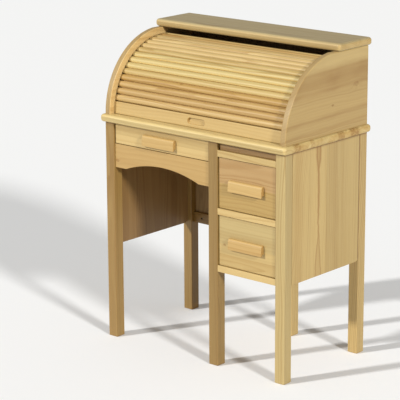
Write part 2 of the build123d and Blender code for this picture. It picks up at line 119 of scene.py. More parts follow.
# Both steel colours are dark as painted shade for the holes the nuts sit in.
BARE_STEEL = (104, 98, 88)
TARNISHED_STEEL = (70, 60, 48)
# Canvas: brown tones as painted shade for the gaps between slats; the weave's hollows darker as painted
# shade.
CANVAS_HOLLOW_SHADE = (168, 130, 76)
CANVAS_YARN = (198, 160, 102)
CANVAS_STAIN = (150, 112, 62)

# ---- growth rings: where a board's pith lies and how far the rings stray ----
PITH_SPREAD = 0.16
PITH_LEAST_DEPTH = 0.018
PITH_DEPTH_SPREAD = 0.07
WANDER_ACROSS = 0.085
WANDER_THROUGH = 0.035
RIPPLE = 0.0065
UNEVEN_SCALE = 70.0
UNEVEN_RINGS = 1.9
LATE_START = 0.25
LATE_FULL = 0.9
FAINTEST_RING = 0.2
RING_FAINTNESS = 1.6
BOARD_SHIFT = 3.0
SEED_STEP = 31.7
BOARD_STEP = 3.7
JOINT_CORE = 0.0001
JOINT_EDGE = 0.0005

# ---- knots, measured in knot radii, and flames, measured in shares of a board's length ----
KNOT_SQUEEZE = (0.62, 1.0, 0.0)
KNOT_ROUGHNESS = 0.7
KNOT_EDGE = (0.75, 1.3)
KNOT_REACH = 2.1
KNOT_SWELL = 1.6
KNOT_RING_STEP = 15.0
FLAME_FOOT_END = 0.42
FLAME_FOOT_OPENING = 0.012
FLAME_TOP = (0.8, 0.92)
FLAME_TOP_OPENING = 0.0065
FLAME_DRIFT = 0.008
FLAME_LINE_WIDTHS = (0.0022, 0.0048)

# ---- how light or dark the features of pine are, as a share of its brightness ----
BAND_DARKENING = -0.22
BOARD_VARIATION = 0.12
JOINT_DARKENING = -0.18
# Rounded edges are lighter: part wear, part painted highlight.
EDGE_WEAR_AND_HIGHLIGHT = 0.1
LATE_WOOD_SHARE = 0.8
WARM_BAND_SHARE = 0.75
BETWEEN_FLAMES_SHARE = 0.45

# ---- fineness of plywood and canvas ----
PLY_LAYER = 0.0012
PLY_FIGURE_LINES = 16.0
PLY_FIGURE_SHARE = 0.6
YARN_STEP = 0.0011

# ---- gloss of each material, and its relief as strength and height ----
PINE_GLOSS = {"Coat Weight": 0.2, "Coat Roughness": 0.25, "Specular IOR Level": 0.35}
STEEL_GLOSS = {"Metallic": 1.0}
CANVAS_GLOSS = {"Sheen Weight": 0.2}
FLOOR_GLOSS = {"Roughness": 0.9, "Specular IOR Level": 0.1}
PINE_RELIEF = (0.35, 0.00025)
PLY_RELIEF = (0.4, 0.0002)
STEEL_RELIEF = (0.3, 0.0001)
WEAVE_RELIEF = (0.7, 0.0003)

# ---- curtain: slats on the rigid front and slats that each turn on a hinge ----
TAIL_SLATS = range(6, 16)
SLAT_STEP = 5.8
SLAT_WOODS = ("apricot", "amber", "buff", "russet", "fawn", "pale_olive", "pale_olive", "pale_olive",
              "fawn", "straw", "straw", "straw", "golden", "amber", "straw")
# Painted light on the slats' sides, which lie in shade in the gaps between slats; more on some slats.
SLATS_WITH_MORE_PAINTED_LIGHT = range(5, 9)
MORE_PAINTED_SIDE_LIGHT = 1.5
PAINTED_SIDE_LIGHT = 1.1
KNOTTY_SLAT = 4

# ---- canvas: its mesh, its dips between glue lines and the gap between two strips ----
CLOTH_ROW_STEP = 0.7
CLOTH_LEAST_ROWS = 4
CLOTH_COLUMNS = 24
CLOTH_DIP = 0.00008
DIP_STEP_ACROSS = 9.0
DIP_STEP_ALONG = 5.0
CLOTH_THICKNESS_SHARE = 0.8
STRIP_GAP = 0.0003


def colour(screen):
    """A screen colour as the linear colour that a shader takes."""
    return [(c / 255 / 12.92) if c < 11 else ((c / 255 + 0.055) / 1.055) ** 2.4 for c in screen] + [1.0]


def shade(wood, factors):
    """The linear colour of a wood with its red, green and blue scaled."""
    return [c * f for c, f in zip(colour(WOODS[wood]), (*factors, 1.0))]


def seed_of(name):
    """A number of its own for each name, the same in every run."""
    return sum((place + 1) * ord(letter) for place, letter in enumerate(name)) % 997 / 9.97


class Graph:
    """A node tree, with short calls that add a node and wire its inputs."""

    def __init__(self, tree):
        self.tree = tree

    def feed(self, socket, value):
        if isinstance(value, bpy.types.NodeSocket):
            self.tree.links.new(value, socket)
        else:
            socket.default_value = value

    def add(self, kind, inputs=None, **settings):
        node = self.tree.nodes.new(kind)
        for name, value in settings.items():
            setattr(node, name, value)
        for name, value in (inputs or {}).items():
            self.feed(node.inputs[name], value)
        return node

    def math(self, operation, *values):
        node = self.add("ShaderNodeMath", operation=operation)
        for socket, value in zip(node.inputs, values):
            self.feed(socket, value)
        return node.outputs[0]

    def vector(self, operation, *values):
        node = self.add("ShaderNodeVectorMath", operation=operation)
        for socket, value in zip(node.inputs, values):
            self.feed(socket, value)
        return node.outputs["Value" if operation in ("LENGTH", "DOT_PRODUCT") else "Vector"]

    def split(self, vector):
        return self.add("ShaderNodeSeparateXYZ", {0: vector}).outputs

    def join(self, x=0.0, y=0.0, z=0.0):
        return self.add("ShaderNodeCombineXYZ", {0: x, 1: y, 2: z}).outputs[0]

    def noise(self, vector, detail=2.0):
        inputs = {"Vector": vector, "Scale": 1.0, "Detail": detail}
        return self.add("ShaderNodeTexNoise", inputs).outputs[0]

    def fine_noise(self, vector, fineness, detail=2.0):
        """Noise with a fineness of its own along each axis."""
        return self.noise(self.vector("MULTIPLY", vector, fineness), detail)

    def random(self, value):
        """Three random numbers from 0 to 1 for each whole value."""
        node = self.add("ShaderNodeTexWhiteNoise", {"W": value}, noise_dimensions="1D")
        return self.split(node.outputs["Color"])

    def ramp(self, value, start, end, low=0.0, high=1.0):
        """Smooth step: low up to start, high from end."""
        inputs = {"Value": value, "From Min": start, "From Max": end, "To Min": low, "To Max": high}
        node = self.add("ShaderNodeMapRange", inputs, interpolation_type="SMOOTHSTEP")
        return node.outputs[0]

    def bell(self, value):
        """1 where the value is 0, falling smoothly to 0 on both sides."""
        square = self.math("MULTIPLY", value, value)
        return self.math("EXPONENT", self.math("MULTIPLY", square, -1.0))

    def mix(self, share, first, second, blend="MIX"):
        node = self.add("ShaderNodeMix", data_type="RGBA", blend_type=blend)
        for socket, value in zip((node.inputs[0], node.inputs[6], node.inputs[7]), (share, first, second)):
            self.feed(socket, value)
        return node.outputs[2]

    def lighten(self, tone, light):
        """A colour times a number."""
        return self.mix(1.0, tone, self.join(light, light, light), "MULTIPLY")


def new_group(name, inputs, outputs):
    """An empty node group: its graph, its input sockets and its output node."""
    tree = bpy.data.node_groups.new(name, "ShaderNodeTree")
    for socket, kind in inputs.items():
        tree.interface.new_socket(socket, in_out="INPUT", socket_type=f"NodeSocket{kind}")
    for socket in outputs:
        tree.interface.new_socket(socket, in_out="OUTPUT", socket_type="NodeSocketFloat")
    graph = Graph(tree)
    source = graph.add("NodeGroupInput").outputs
    sink = graph.add("NodeGroupOutput")
    return graph, source, sink


def add_group(g, tree, inputs):
    """A group node in the graph with its inputs wired; gives its outputs."""
    node = g.add("ShaderNodeGroup", node_tree=tree)
    for socket, value in inputs.items():
        g.feed(node.inputs[socket], value)
    return node.outputs


# ---- figure of the wood: rings, knots, streaks and flames ----
def late_wood(g, radius, ring_width, seed):
    """How dark each ring is at a distance from the pith: light at first, dark at its outer edge."""
    uneven = g.noise(g.join(g.math("MULTIPLY", radius, UNEVEN_SCALE), seed))
    uneven = g.math("MULTIPLY", uneven, UNEVEN_RINGS)
    count = g.math("ADD", g.math("DIVIDE", radius, ring_width), uneven)
    ring = g.math("FLOOR", count)
    phase = g.math("FRACT", count)
    rise = g.ramp(phase, LATE_START, LATE_FULL)
    fall = g.ramp(phase, LATE_FULL, 1.0, 1.0, 0.0)
    strength = g.math("POWER", g.random(g.math("ADD", ring, seed))[0], RING_FAINTNESS)
    strength = g.math("MULTIPLY_ADD", strength, 1.0 - FAINTEST_RING, FAINTEST_RING)
    return g.math("MULTIPLY", g.math("MULTIPLY", rise, fall), strength)


def make_grain_group():
    """Growth rings round a wandering pith, in boards glued side by side.

    Position runs along the grain, across the board and through it. Late is the dark late wood,
    Band a broad change of tone, Fibre the fine streaks, Board the tone of each glued board and
    Joint the line between two of them.
    """
    inputs = {"Position": "Vector", "Seed": "Float", "Strip": "Float", "Ring": "Float", "Swell": "Float",
              "Beside": "Float"}
    g, source, sink = new_group("pine_grain", inputs, ("Late", "Band", "Fibre", "Board", "Joint"))
    x, y, z = g.split(source["Position"])
    seed = source["Seed"]

    across = g.math("DIVIDE", y, source["Strip"])
    board = g.math("FLOOR", across)
    within = g.math("FRACT", across)
    side, depth, shift = g.random(g.math("ADD", g.math("MULTIPLY", seed, SEED_STEP), board))
    x_own = g.math("ADD", x, g.math("MULTIPLY", shift, BOARD_SHIFT))
    y_own = g.math("MULTIPLY", g.math("SUBTRACT", within, 0.5), source["Strip"])
    place = g.join(x_own, y_own, z)
    offset = g.join(seed, g.math("MULTIPLY", board, BOARD_STEP), shift)

    def stretched(along, crosswise, detail=2.0):
        """Noise about 0 with its own fineness along the grain and across it."""
        moved = g.vector("MULTIPLY_ADD", place, (along, crosswise, crosswise), offset)
        return g.math("SUBTRACT", g.noise(moved, detail), 0.5)

    wander_y = g.math("MULTIPLY", stretched(along=1.3, crosswise=3.0), WANDER_ACROSS)
    wander_z = g.math("MULTIPLY", stretched(along=2.1, crosswise=2.0), WANDER_THROUGH)
    ripple = g.math("MULTIPLY", stretched(along=7.0, crosswise=40.0, detail=3.0), RIPPLE)
    pith_y = g.math("MULTIPLY", g.math("SUBTRACT", side, 0.5), PITH_SPREAD)
    pith_y = g.math("SUBTRACT", pith_y, source["Beside"])
    pith_z = g.math("MULTIPLY_ADD", depth, PITH_DEPTH_SPREAD, PITH_LEAST_DEPTH)
    from_pith_y = g.math("ADD", g.math("SUBTRACT", y_own, pith_y), wander_y)
    from_pith_z = g.math("ADD", g.math("ADD", z, pith_z), wander_z)
    radius = g.vector("LENGTH", g.join(0.0, from_pith_y, from_pith_z))
    radius = g.math("ADD", g.math("ADD", radius, ripple), source["Swell"])

    from_middle = g.math("ABSOLUTE", g.math("SUBTRACT", within, 0.5))
    from_joint = g.math("MULTIPLY", g.math("SUBTRACT", 0.5, from_middle), source["Strip"])
    g.feed(sink.inputs["Late"], late_wood(g, radius, source["Ring"], seed))
    g.feed(sink.inputs["Band"], stretched(along=0.9, crosswise=30.0))
    g.feed(sink.inputs["Fibre"], stretched(along=16.0, crosswise=1100.0))
    g.feed(sink.inputs["Board"], g.math("SUBTRACT", depth, 0.5))
    g.feed(sink.inputs["Joint"], g.ramp(from_joint, JOINT_CORE, JOINT_EDGE, 1.0, 0.0))
    return g.tree


def make_knot_group():
    """One knot through a board, longer along the grain.

    Mask is the mottled knot itself, Swell pushes the growth rings round it and Rings are its own.
    """
    inputs = {"Position": "Vector", "Centre": "Vector", "Radius": "Float", "Seed": "Float"}
    g, source, sink = new_group("pine_knot", inputs, ("Mask", "Swell", "Rings"))
    away = g.vector("SUBTRACT", source["Position"], source["Centre"])
    away = g.vector("MULTIPLY", away, KNOT_SQUEEZE)
    rough = g.vector("MULTIPLY_ADD", source["Position"], (130.0, 130.0, 130.0), g.join(source["Seed"]))
    ragged = g.math("MULTIPLY_ADD", g.noise(rough), KNOT_ROUGHNESS, -KNOT_ROUGHNESS / 2)
    share = g.math("ADD", g.math("DIVIDE", g.vector("LENGTH", away), source["Radius"]), ragged)
    mottle = g.fine_noise(source["Position"], (210.0, 150.0, 260.0))
    mask = g.math("MULTIPLY", g.ramp(share, *KNOT_EDGE, 1.0, 0.0), g.ramp(mottle, 0.35, 0.6, 0.45, 1.0))
    swell = g.math("MULTIPLY", g.bell(g.math("DIVIDE", share, KNOT_REACH)), source["Radius"])
    wave = g.math("SINE", g.math("MULTIPLY", share, KNOT_RING_STEP))
    g.feed(sink.inputs["Mask"], mask)
    g.feed(sink.inputs["Swell"], g.math("MULTIPLY", swell, KNOT_SWELL))
    g.feed(sink.inputs["Rings"], g.math("MULTIPLY_ADD", wave, 0.5, 0.5))
    return g.tree


def make_streak_group():
    """A long streak along the grain, wandering and fading. Mask is 1 on its middle line."""
    inputs = {"Position": "Vector", "Centre": "Float", "Width": "Float", "Seed": "Float"}
    g, source, sink = new_group("pine_streak", inputs, ("Mask",))
    x, y, _ = g.split(source["Position"])
    wander = g.noise(g.join(g.math("MULTIPLY", x, 8.0), source["Centre"], source["Seed"]), 3.0)
    fade = g.noise(g.join(g.math("MULTIPLY", x, 5.0), source["Seed"], source["Centre"]))
    away = g.math("DIVIDE", g.math("SUBTRACT", y, source["Centre"]), source["Width"])
    away = g.math("ADD", away, g.math("MULTIPLY_ADD", wander, 3.0, -1.5))
    g.feed(sink.inputs["Mask"], g.math("MULTIPLY", g.bell(away), g.ramp(fade, 0.25, 0.6, 0.35, 1.0)))
    return g.tree


def make_flame_group():
    """Two growth lines that part towards both ends of a board and meet in one between them.

    Mask is the lines themselves, Inside the wood between them.
    """
    inputs = {"Position": "Vector", "Centre": "Float", "Length": "Float", "Seed": "Float"}
    g, source, sink = new_group("pine_flame", inputs, ("Mask", "Inside"))
    x, y, _ = g.split(source["Position"])
    share = g.math("DIVIDE", x, source["Length"])
    foot = g.ramp(share, 0.0, FLAME_FOOT_END, FLAME_FOOT_OPENING, 0.0)
    opening = g.math("ADD", foot, g.ramp(share, *FLAME_TOP, 0.0, FLAME_TOP_OPENING))
    wobble = g.noise(g.join(g.math("MULTIPLY", x, 38.0), source["Seed"]))
    drift = g.math("MULTIPLY_ADD", wobble, FLAME_DRIFT, -FLAME_DRIFT / 2)
    away = g.math("ABSOLUTE", g.math("ADD", g.math("SUBTRACT", y, source["Centre"]), drift))
    line_width = g.ramp(share, 0.3, 0.6, *FLAME_LINE_WIDTHS)
    past = g.math("DIVIDE", g.math("SUBTRACT", away, opening), line_width)
    strength = g.ramp(share, 0.2, 0.6, 0.6, 0.75)
    g.feed(sink.inputs["Mask"], g.math("MULTIPLY", g.bell(past), strength))
    g.feed(sink.inputs["Inside"], g.math("MULTIPLY", g.ramp(past, -1.5, 0.5, 1.0, 0.0), strength))
    return g.tree


grain_group = make_grain_group()
knot_group = make_knot_group()
streak_group = make_streak_group()
flame_group = make_flame_group()


# ---- materials ----
def new_material(name):
    """A material with a plain shader: the material, its graph and the shader."""
    material = bpy.data.materials.new(name)
    material.use_nodes = True
    material.node_tree.nodes.clear()
    g = Graph(material.node_tree)
    output = g.add("ShaderNodeOutputMaterial")
    shader = g.add("ShaderNodeBsdfPrincipled")
    g.feed(output.inputs["Surface"], shader.outputs[0])
    return material, g, shader


def set_gloss(shader, gloss):
    for name, value in gloss.items():
        shader.inputs[name].default_value = value


def coat(g, shader, tone, rough, height, relief, gloss=None):
    """Wires a shader's colour, roughness and relief, and sets the numbers of its gloss."""
    strength, depth = relief
    bump = g.add("ShaderNodeBump", {"Strength": strength, "Distance": depth, "Height": height})
    g.feed(shader.inputs["Base Color"], tone)
    g.feed(shader.inputs["Roughness"], rough)
    g.feed(shader.inputs["Normal"], bump.outputs[0])
    set_gloss(shader, gloss or {})


class Board:
    """Where a point lies in a board, measured from the board's lowest corner.

    grain names the axes along, across and through the board, such as "XYZ". lean tilts the grain.
    """

    def __init__(self, g, node, grain, lean=0.0):
        low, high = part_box(node)
        coordinates = g.add("ShaderNodeTexCoord").outputs
        self.place = coordinates["Object"]
        self.facing = coordinates["Normal"]
        self.axes = ["XYZ".index(letter) for letter in grain]
        self.sides = high - low
        self.size = [self.sides[axis] for axis in self.axes]
        self.inside = g.split(g.vector("SUBTRACT", self.place, tuple(low)))
        along, across, self.through = (self.inside[axis] for axis in self.axes)
        self.across = g.math("MULTIPLY_ADD", along, lean, across)
        self.position = g.join(along, self.across, self.through)
        self.seed = seed_of(node)


def facing_share(g, board, direction):
    """1 on the surfaces that look in a direction, 0 on the rest."""
    return g.ramp(g.vector("DOT_PRODUCT", board.facing, direction), 0.3, 0.6)


def axis_share(g, board, number, start, end, low=0.0, high=1.0):
    """Ramp over how far the surface looks along the board's axis of that number, either way."""
    part = g.split(board.facing)[board.axes[number]]
    return g.ramp(g.math("ABSOLUTE", part), start, end, low, high)


def arris_share(g, board, turned):
    """1 on rounded edges, where the surface faces between the axes, broken up by noise.

    A turned piece is curved in the YZ plane, so only the edges of its YZ outline count.
    """
    sizes = [g.math("ABSOLUTE", part) for part in g.split(board.facing)]
    if turned:
        share = g.math("MULTIPLY", g.ramp(sizes[0], 0.15, 0.4), g.ramp(sizes[0], 0.8, 0.97, 1.0, 0.0))
    else:
        largest = g.math("MAXIMUM", sizes[0], g.math("MAXIMUM", sizes[1], sizes[2]))
        share = g.ramp(largest, 0.78, 0.985, 1.0, 0.0)
    ragged = g.fine_noise(board.place, (55.0, 55.0, 55.0), 3.0)
    return g.math("MULTIPLY", share, g.ramp(ragged, 0.3, 0.6, 0.4, 1.0))


def add_knots(g, board, knots):
    """The mask, swell and rings of all knots: place along and across, radius and strength."""
    mask, swell, rings = 0.0, 0.0, 0.0
    for along, across, radius, strength in knots:
        centre = (along * board.size[0], across * board.size[1], 0.0)
        inputs = {"Position": board.position, "Centre": centre, "Radius": radius, "Seed": board.seed}
        knot = add_group(g, knot_group, inputs)
        mask = g.math("MAXIMUM", mask, g.math("MULTIPLY", knot["Mask"], strength))
        swell = g.math("ADD", swell, knot["Swell"])
        rings = g.math("MAXIMUM", rings, knot["Rings"])
    return mask, swell, rings


def wood_colour(g, wood, rings, figure):
    """Early and late wood of one kind of pine and its warmer bands."""
    late = g.math("MULTIPLY", rings["Late"], LATE_WOOD_SHARE * figure)
    grain = g.mix(late, shade(wood, EARLY_WOOD), shade(wood, LATE_WOOD))
    warm = g.mix(0.5, grain, shade(wood, WARM_WOOD))
    return g.mix(g.ramp(rings["Band"], -0.05, 0.22, 0.0, WARM_BAND_SHARE), grain, warm)


def add_second(g, base, board, rings, figure, second):
    """Another wood beyond a place across the board: the place, the wood and the border's half width."""
    place, wood, blur = second
    border = place * board.size[1]
    beyond = g.ramp(board.across, border - blur, border + blur)
    return g.mix(beyond, base, wood_colour(g, wood, rings, figure))


def add_streaks(g, base, wood, board, streaks):
    """Darker streaks over the base colour: place across, half width and strength."""
    for centre, width, strength in streaks:
        inputs = {"Position": board.position, "Centre": centre * board.size[1], "Width": width,
                  "Seed": board.seed}
        streak = add_group(g, streak_group, inputs)["Mask"]
        base = g.mix(g.math("MULTIPLY", streak, strength), base, shade(wood, STREAK_WOOD))
    return base


def add_flame(g, base, wood, board, centre):
    """A pair of bold growth lines at a place across the board."""
    inputs = {"Position": board.position, "Centre": centre * board.size[1], "Length": board.size[0],
              "Seed": board.seed}
    lines = add_group(g, flame_group, inputs)
    base = g.mix(g.math("MULTIPLY", lines["Inside"], BETWEEN_FLAMES_SHARE), base, shade(wood, STREAK_WOOD))
    return g.mix(lines["Mask"], base, shade(wood, FLAME_WOOD))


def add_end_grain(g, base, board):
    """Darker end grain in blotches; gives the colour and the share of end grain."""
    blotch = g.fine_noise(board.position, (30.0, 22.0, 30.0))
    end = g.math("MULTIPLY", axis_share(g, board, 0, 0.5, 0.9), g.ramp(blotch, 0.38, 0.62, 0.3, 1.0))
    return g.mix(end, base, g.mix(1.0, base, END_GRAIN, "MULTIPLY")), end


def add_rim(g, base, board, rings, figure, rim):
    """Another wood all round the outline; gives the colour and the share of the outline."""
    end = axis_share(g, board, 2, 0.35, 0.8, 1.0, 0.0)
    return g.mix(end, base, wood_colour(g, rim, rings, figure)), end


def add_seams(g, base, board, seams):
    """Painted shade where another piece meets or overhangs the board: axis, share of that side, half width
    and strength.
    """
    for letter, share, width, strength in seams:
        axis = "XYZ".index(letter)
        away = g.math("SUBTRACT", board.inside[axis], share * board.sides[axis])
        line = g.bell(g.math("DIVIDE", away, width))
        base = g.mix(g.math("MULTIPLY", line, strength), base, colour(SEAM_SHADE))
    return base


def pine_light(g, board, rings, arris, strip, fibre, pale_sides):
    """How light or dark each place is: bands, fibres, glued boards, edges lighter with wear and painted
    highlight, and painted light on sides.

    The sides argument is (direction of the board's face, gain of the painted light on the surfaces that
    turn away from it, which lie in shade).
    """
    light = g.math("MULTIPLY_ADD", rings["Band"], BAND_DARKENING, 1.0)
    light = g.math("MULTIPLY_ADD", rings["Fibre"], fibre, light)
    if strip:
        light = g.math("MULTIPLY_ADD", rings["Board"], BOARD_VARIATION, light)
        light = g.math("MULTIPLY_ADD", rings["Joint"], JOINT_DARKENING, light)
    # Rounded edges lighter with wear and a painted highlight.
    light = g.math("MULTIPLY_ADD", arris, EDGE_WEAR_AND_HIGHLIGHT, light)
    # Painted light on the surfaces that turn away from the board's face.
    if pale_sides:
        direction, gain = pale_sides
        towards = g.vector("DOT_PRODUCT", board.facing, direction)
        light = g.math("MULTIPLY", light, g.ramp(towards, 0.2, 0.85, gain, 1.0))
    return light


def lacquer(g, shader, tone, board, rings, arris, end):
    """Satin lacquer over the grain, duller on worn edges and on end grain."""
    scuffs = g.fine_noise(board.position, (22.0, 60.0, 60.0), 4.0)
    rough = g.math("MULTIPLY_ADD", scuffs, 0.22, 0.34)
    rough = g.math("MULTIPLY_ADD", rings["Late"], -0.06, rough)
    rough = g.math("MULTIPLY_ADD", arris, 0.08, rough)
    rough = g.math("MULTIPLY_ADD", end, 0.12, rough)
    height = g.math("MULTIPLY_ADD", rings["Late"], 0.6, g.math("MULTIPLY", rings["Fibre"], 0.9))
    coat(g, shader, tone, rough, height, PINE_RELIEF, PINE_GLOSS)


def pine(node, wood, grain, strip=None, ring=0.0065, lean=0.0, beside=0.0, figure=1.0, fibre=0.2,
         knots=(), streaks=(), seams=(), second=None, inner=None, flame=None, rim=None, turned=False,
         pale_sides=None):
    """Lacquered pine for a node.

    strip is the width of the glued boards, ring the distance between growth rings, beside how far the
    pith lies to one side, which straightens the figure. second is (place across, wood, blur) of the
    wood beyond that place, inner is (wood, direction) of the faces that look that way, a darker wood
    there being painted shade, rim is the wood that shows all round the outline in place of end grain,
    flame the place of a pair of bold lines.
    """
    material, g, shader = new_material(node)
    board = Board(g, node, grain, lean)
    knot_mask, swell, knot_rings = add_knots(g, board, knots)
    inputs = {"Position": board.position, "Seed": board.seed, "Strip": strip or 1.02 * board.size[1],
              "Ring": ring, "Swell": swell, "Beside": beside}
    rings = add_group(g, grain_group, inputs)

    base = wood_colour(g, wood, rings, figure)
    if second:
        base = add_second(g, base, board, rings, figure, second)
    if inner:
        base = g.mix(facing_share(g, board, inner[1]), base, wood_colour(g, inner[0], rings, figure))
    base = add_streaks(g, base, wood, board, streaks)
    if flame:
        base = add_flame(g, base, wood, board, flame)
    if rim:
        base, end = add_rim(g, base, board, rings, figure, rim)
    else:
        base, end = add_end_grain(g, base, board)

    arris = arris_share(g, board, turned)
    base = g.lighten(base, pine_light(g, board, rings, arris, strip, fibre, pale_sides))
    if knots:
        heart = g.mix(knot_rings, shade(wood, KNOT_WOOD), shade(wood, STREAK_WOOD))
        base = g.mix(knot_mask, base, heart)
    lacquer(g, shader, add_seams(g, base, board, seams), board, rings, arris, end)
    return material


def ply_face(g, board, face):
    """A rotary-cut face: its colour, in wide wavy figure, and the figure's dark lines."""
    offset = (board.seed, 0.0, 0.0)
    waves = g.noise(g.vector("MULTIPLY_ADD", board.position, (2.0, 14.0, 0.0), offset), 3.0)
    lines = g.math("FRACT", g.math("MULTIPLY", waves, PLY_FIGURE_LINES))
    lines = g.math("MULTIPLY", g.ramp(lines, 0.2, 0.85), g.ramp(lines, 0.85, 1.0, 1.0, 0.0))
    light, dark = (colour(c) for c in face)
    return g.mix(g.math("MULTIPLY", lines, PLY_FIGURE_SHARE), light, dark), lines


def plywood(node, grain, face, inner=None):
    """Thin plywood: a rotary-cut face, and dark and light layers along its edges.

    inner is (face, direction) of the side that looks that way, darker as painted shade.
    """
    material, g, shader = new_material(node)
    board = Board(g, node, grain)
    tone, lines = ply_face(g, board, face)
    if inner:
        tone = g.mix(facing_share(g, board, inner[1]), tone, ply_face(g, board, inner[0])[0])
    offset = (board.seed, 0.0, 0.0)
    fibre = g.noise(g.vector("MULTIPLY_ADD", board.position, (18.0, 900.0, 0.0), offset))
    skin = g.math("MINIMUM", board.through, g.math("SUBTRACT", board.size[2], board.through))
    core = g.ramp(skin, 0.3 * PLY_LAYER, 0.5 * PLY_LAYER)
    layer = g.ramp(g.math("FRACT", g.math("DIVIDE", board.through, 2 * PLY_LAYER)), 0.45, 0.55)
    light = g.math("MULTIPLY_ADD", fibre, 0.3, 0.85)
    light = g.math("MULTIPLY", light, g.math("MULTIPLY_ADD", g.math("MULTIPLY", layer, core), -0.35, 1.0))
    rough = g.math("MULTIPLY_ADD", fibre, 0.2, 0.52)
    coat(g, shader, g.lighten(tone, light), rough, g.math("ADD", fibre, lines), PLY_RELIEF)
    return material


def steel():
    """Turned steel, dull, its dark tone painted shade for the holes it sits in, with tarnish in patches:
    fine rings.
    """
    material, g, shader = new_material("dark_steel")
    place = g.add("ShaderNodeTexCoord").outputs["Object"]
    tarnish = g.fine_noise(place, (400.0, 400.0, 400.0), 4.0)
    turned = g.fine_noise(place, (3000.0, 200.0, 3000.0), 1.0)
    tone = g.mix(g.ramp(tarnish, 0.4, 0.7), colour(BARE_STEEL), colour(TARNISHED_STEEL))
    rough = g.math("MULTIPLY_ADD", tarnish, 0.3, 0.2)
    coat(g, shader, tone, rough, turned, STEEL_RELIEF, STEEL_GLOSS)
    return material


def canvas():
    """Cotton duck in brown tones as painted shade for the gaps between the slats, with stains in patches:
    a plain weave with uneven yarns, darker in its hollows as painted shade.
    """
    material, g, shader = new_material("cotton_duck")
    place = g.add("ShaderNodeTexCoord").outputs["Object"]
    turn = 2 * math.pi / YARN_STEP
    x, y, z = g.split(place)
    slub = g.math("MULTIPLY", g.fine_noise(place, (40.0, 300.0, 300.0), 3.0), 2.5)
    warp = g.math("SINE", g.math("MULTIPLY_ADD", x, turn, slub))
    weft = g.math("SINE", g.math("MULTIPLY_ADD", g.math("SUBTRACT", z, y), turn, slub))
    weave = g.math("MULTIPLY_ADD", g.math("MULTIPLY", warp, weft), 0.5, 0.5)
    stain = g.fine_noise(place, (18.0, 18.0, 18.0), 3.0)
    tone = g.mix(weave, colour(CANVAS_HOLLOW_SHADE), colour(CANVAS_YARN))
    tone = g.mix(g.ramp(stain, 0.45, 0.75, 0.0, 0.35), tone, colour(CANVAS_STAIN))
    rough = g.math("MULTIPLY_ADD", weave, -0.1, 0.95)
    coat(g, shader, tone, rough, weave, WEAVE_RELIEF, CANVAS_GLOSS)
    return material


# ---- which wood each node is made of ----
roll_joint = next(joint for joint in frame["joints"] if joint["name"] == "roll_top")
roll_axis = Vector(roll_joint["pos_m"])

# Painted shade lines are (axis, share of that side, half width, strength); inner faces are (wood,
# direction), darker as painted shade.
# Painted shadows under the desktop's overhang, in the groove beside the back leg and at the ends of the
# recessed drawer fronts.
UNDER_DESKTOP_SHADOW = ("Z", 1.0, 0.0045, 0.85)
BESIDE_BACK_LEG_SHADE = ("Y", 0.975, 0.0024, 0.9)
DRAWER_END_SHADOWS = (("X", 1.0, 0.002, 0.8), ("X", 0.0, 0.0015, 0.6))
# Inner faces inside the kneehole and of the backs get a darker wood as painted shade.
LEFT_PANEL_INSIDE_SHADE = ("umber", (1.0, 0.0, 0.0))
BACK_LEG_INSIDE_SHADE = ("dark_umber", (1.0, 0.0, 0.0))
BACK_RAIL_INSIDE_SHADE = ("bark", (0.0, -1.0, 0.0))
PLY_INSIDE_SHADE = (BACK_INSIDE_SHADE, (0.0, -1.0, 0.0))


def dress(node, material):
    """Gives a CAD node its finished material in every slot."""
    for slot in nodes[node].material_slots:
        slot.material = material


def dress_pine(node, wood, grain, **finish):
    dress(node, pine(node, wood, grain, **finish))


def dress_frame():
    legs = {"front_left": "brown", "front_middle": "dark_brown", "front_right": "khaki",
            "back_left": "brown", "back_middle": "golden", "back_right": "golden"}
    for place, wood in legs.items():
        # The back left leg's inner face gets painted shade.
        inner = BACK_LEG_INSIDE_SHADE if place == "back_left" else None
        dress_pine(f"leg_{place}", wood, "ZXY", ring=0.005, seams=(UNDER_DESKTOP_SHADOW,), inner=inner)
    dress_pine("side_panel_right", "light_tan", "ZYX", strip=0.077, ring=0.005, beside=0.1, figure=0.8,
               flame=0.385, streaks=((0.62, 0.012, 0.2), (0.1, 0.02, 0.15)),
               seams=(UNDER_DESKTOP_SHADOW, BESIDE_BACK_LEG_SHADE))
    dress_pine("side_panel_left", "tan", "ZYX", strip=0.09, ring=0.008, seams=(UNDER_DESKTOP_SHADOW,),
               inner=LEFT_PANEL_INSIDE_SHADE)
    dress_pine("pedestal_inner_panel", "tan", "ZYX", strip=0.1, ring=0.008)
    dress_pine("rail_lower", "straw", "XZY", ring=0.007, figure=0.6)
    dress_pine("rail_middle", "straw", "XZY", ring=0.007, figure=0.6)
    dress_pine("rail_upper", "golden", "XZY", ring=0.007, figure=0.6)
    dress_pine("kneehole_back_rail", "tan", "XZY", inner=BACK_RAIL_INSIDE_SHADE)
    dress_pine("pedestal_back_rail", "tan", "XZY")
    dress_pine("apron", "amber", "XZY", ring=0.012, figure=0.6, knots=((0.055, 0.3, 0.0045, 0.6),))
    dress_pine("pedestal_runners", "plain", "YXZ")
    dress_pine("pencil_runners", "plain", "YXZ")


